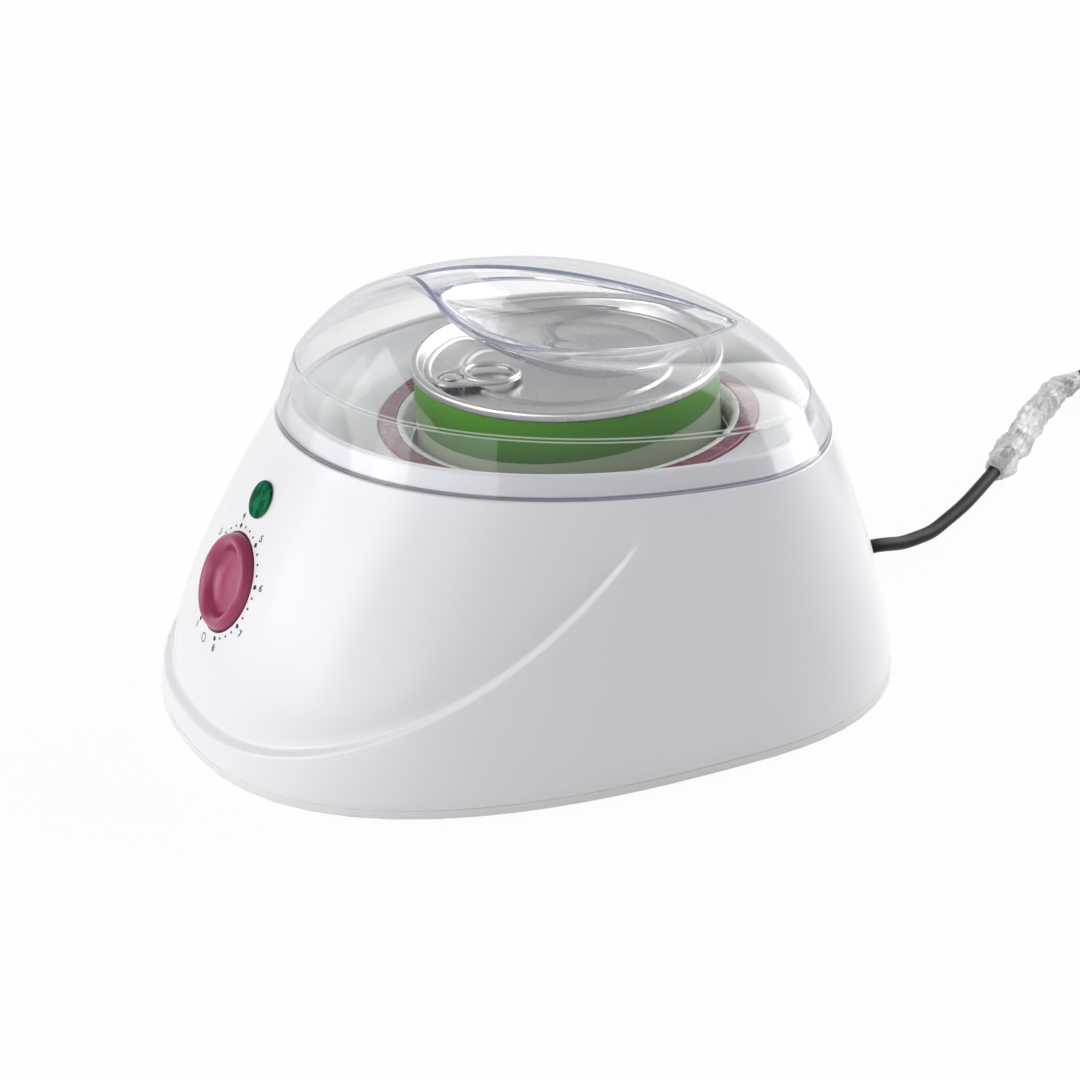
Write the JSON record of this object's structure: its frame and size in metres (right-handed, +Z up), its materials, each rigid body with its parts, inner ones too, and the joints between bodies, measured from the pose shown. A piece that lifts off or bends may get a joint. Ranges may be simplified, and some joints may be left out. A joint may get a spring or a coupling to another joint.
{
  "type": "wax warmer",
  "caption": "Countertop wax warmer: leaning oval housing with a heated pot, a tin of wax standing in it, a clear lift-off lid with a leaf shaped grip, a temperature dial and a pilot lamp.",
  "frame": {"origin": "centre of the base outline, on the table under the feet", "axes": "+Z up, the dial faces -Y, the cord leaves at +Y"},
  "size_m": [0.2179, 0.5281, 0.1433],
  "materials": {
    "housing_white": "gloss white moulded plastic",
    "tray_white": "satin white moulded plastic",
    "foot_rubber": "matt grey rubber",
    "steel": "plain zinc plated steel",
    "ring_pink": "satin mauve pink plastic",
    "lip_white": "gloss white plastic",
    "gasket": "grey silicone rubber",
    "pot_aluminium": "spun aluminium",
    "mica": "pressed mica sheet",
    "bakelite": "brown phenolic moulding",
    "copper_tube": "drawn copper",
    "knob_pink": "gloss mauve pink plastic",
    "lamp_green": "clear green plastic",
    "lamp_black": "black nylon",
    "ceramic": "glazed steatite",
    "lead_insulation": "silicone rubber insulation",
    "cord_black": "black vinyl",
    "film_clear": "clear creased film",
    "tie_grey": "dark plastic strap",
    "pin_brass": "nickel plated brass",
    "lid_clear": "clear moulded acrylic",
    "tinplate": "tinplate",
    "can_aluminium": "aluminium can end",
    "label_green": "printed paper label, plain colours",
    "wax": "cooled wax"
  },
  "bodies": {
    "base": {"housing": "housing_white", "base_plate": "tray_white", "base_feet": "foot_rubber", "base_screws": "steel", "pot_ring": "ring_pink", "pot_lip": "lip_white", "pot_gasket": "gasket", "heating_pot": "pot_aluminium", "heater_band": "mica", "band_clamp": "steel", "thermal_fuse": "steel", "pot_support": "steel", "thermostat": "bakelite", "thermostat_screws": "steel", "sensor_bulb": "copper_tube", "capillary_tube": "copper_tube", "lamp_lens": "lamp_green", "lamp_body": "lamp_black", "terminal_block": "ceramic", "mains_leads": "lead_insulation", "heater_leads": "lead_insulation", "lamp_leads": "lead_insulation", "cord_bush": "cord_black", "cord_clamp": "tray_white", "clamp_screws": "steel", "power_cord": "cord_black", "cord_sleeve": "film_clear", "cord_coil": "cord_black", "cord_tail": "cord_black", "coil_tie": "tie_grey", "plug_body": "cord_black", "plug_pins": "pin_brass"},
    "dial": {"knob": "knob_pink", "thermostat_shaft": "steel"},
    "lid": {"lid": "lid_clear"},
    "tin": {"can_body": "tinplate", "can_end": "can_aluminium", "can_label": "label_green", "tab_rivet": "can_aluminium", "wax_fill": "wax"},
    "tab": {"pull_tab": "can_aluminium"}
  },
  "joints": [
    {"name": "knob_turn", "type": "hinge", "parent": "base", "child": "dial", "pos_m": [0, -0.09986, 0.0552], "axis": [0, -0.9063, 0.4226], "range_deg": [-341, 0]},
    {"name": "lid_lift", "type": "slide", "parent": "base", "child": "lid", "axis": [0, 0, 1], "range_m": [0, 0.15]},
    {"name": "can_lift", "type": "slide", "parent": "base", "child": "tin", "axis": [0, 0, 1], "range_m": [0, 0.08]},
    {"name": "tab_lift", "type": "hinge", "parent": "tin", "child": "tab", "pos_m": [-0.00313, -0.02269, 0.1061], "axis": [0.9976, -0.0698, 0], "range_deg": [0, 75]}
  ],
  "couplings": [
    {"joint": "can_lift", "follows": "lid_lift", "ratio": 0.5},
    {"joint": "tab_lift", "follows": "lid_lift", "rad_per_m": 8.7}
  ]
}
